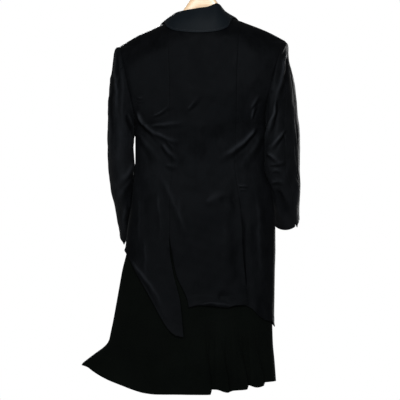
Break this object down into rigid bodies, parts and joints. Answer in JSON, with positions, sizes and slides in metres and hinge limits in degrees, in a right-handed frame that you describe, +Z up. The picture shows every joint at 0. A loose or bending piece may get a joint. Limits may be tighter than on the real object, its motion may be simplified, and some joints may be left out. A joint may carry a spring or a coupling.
{
  "type": "long velvet jacket on a wooden hanger",
  "caption": "Long velvet jacket with a fall collar, vented asymmetric hem and a longer flared under layer, hung open-necked on a shaped wooden hanger.",
  "frame": {"origin": "the point of the hanger's hook that rests on the rail: the inner top of the hook's loop", "axes": "+Z up; the garment's front faces -Y and its back +Y; +X is the wearer's left"},
  "size_m": [0.6045, 0.2553, 1.169],
  "materials": {
    "velvet": "black cotton velvet, short pile",
    "satin": "blue-black satin-faced cloth",
    "under_cloth": "matt black cloth with a green cast",
    "button": "plain black button",
    "wood": "light varnished wood",
    "hook": "bright steel wire"
  },
  "bodies": {
    "root": {"back_centre": "velvet", "back_side_left": "velvet", "back_side_right": "velvet", "front_left": "velvet", "front_right": "velvet", "sleeve_upper_left": "velvet", "sleeve_under_left": "velvet", "sleeve_upper_right": "velvet", "sleeve_under_right": "velvet", "collar_and_lapels": "satin", "collar_stand": "satin", "under_layer_back": "under_cloth", "under_layer_front": "under_cloth", "button_1": "button", "button_2": "button", "button_3": "button", "hanger_body": "wood", "hanger_hook": "hook"}
  },
  "joints": []
}
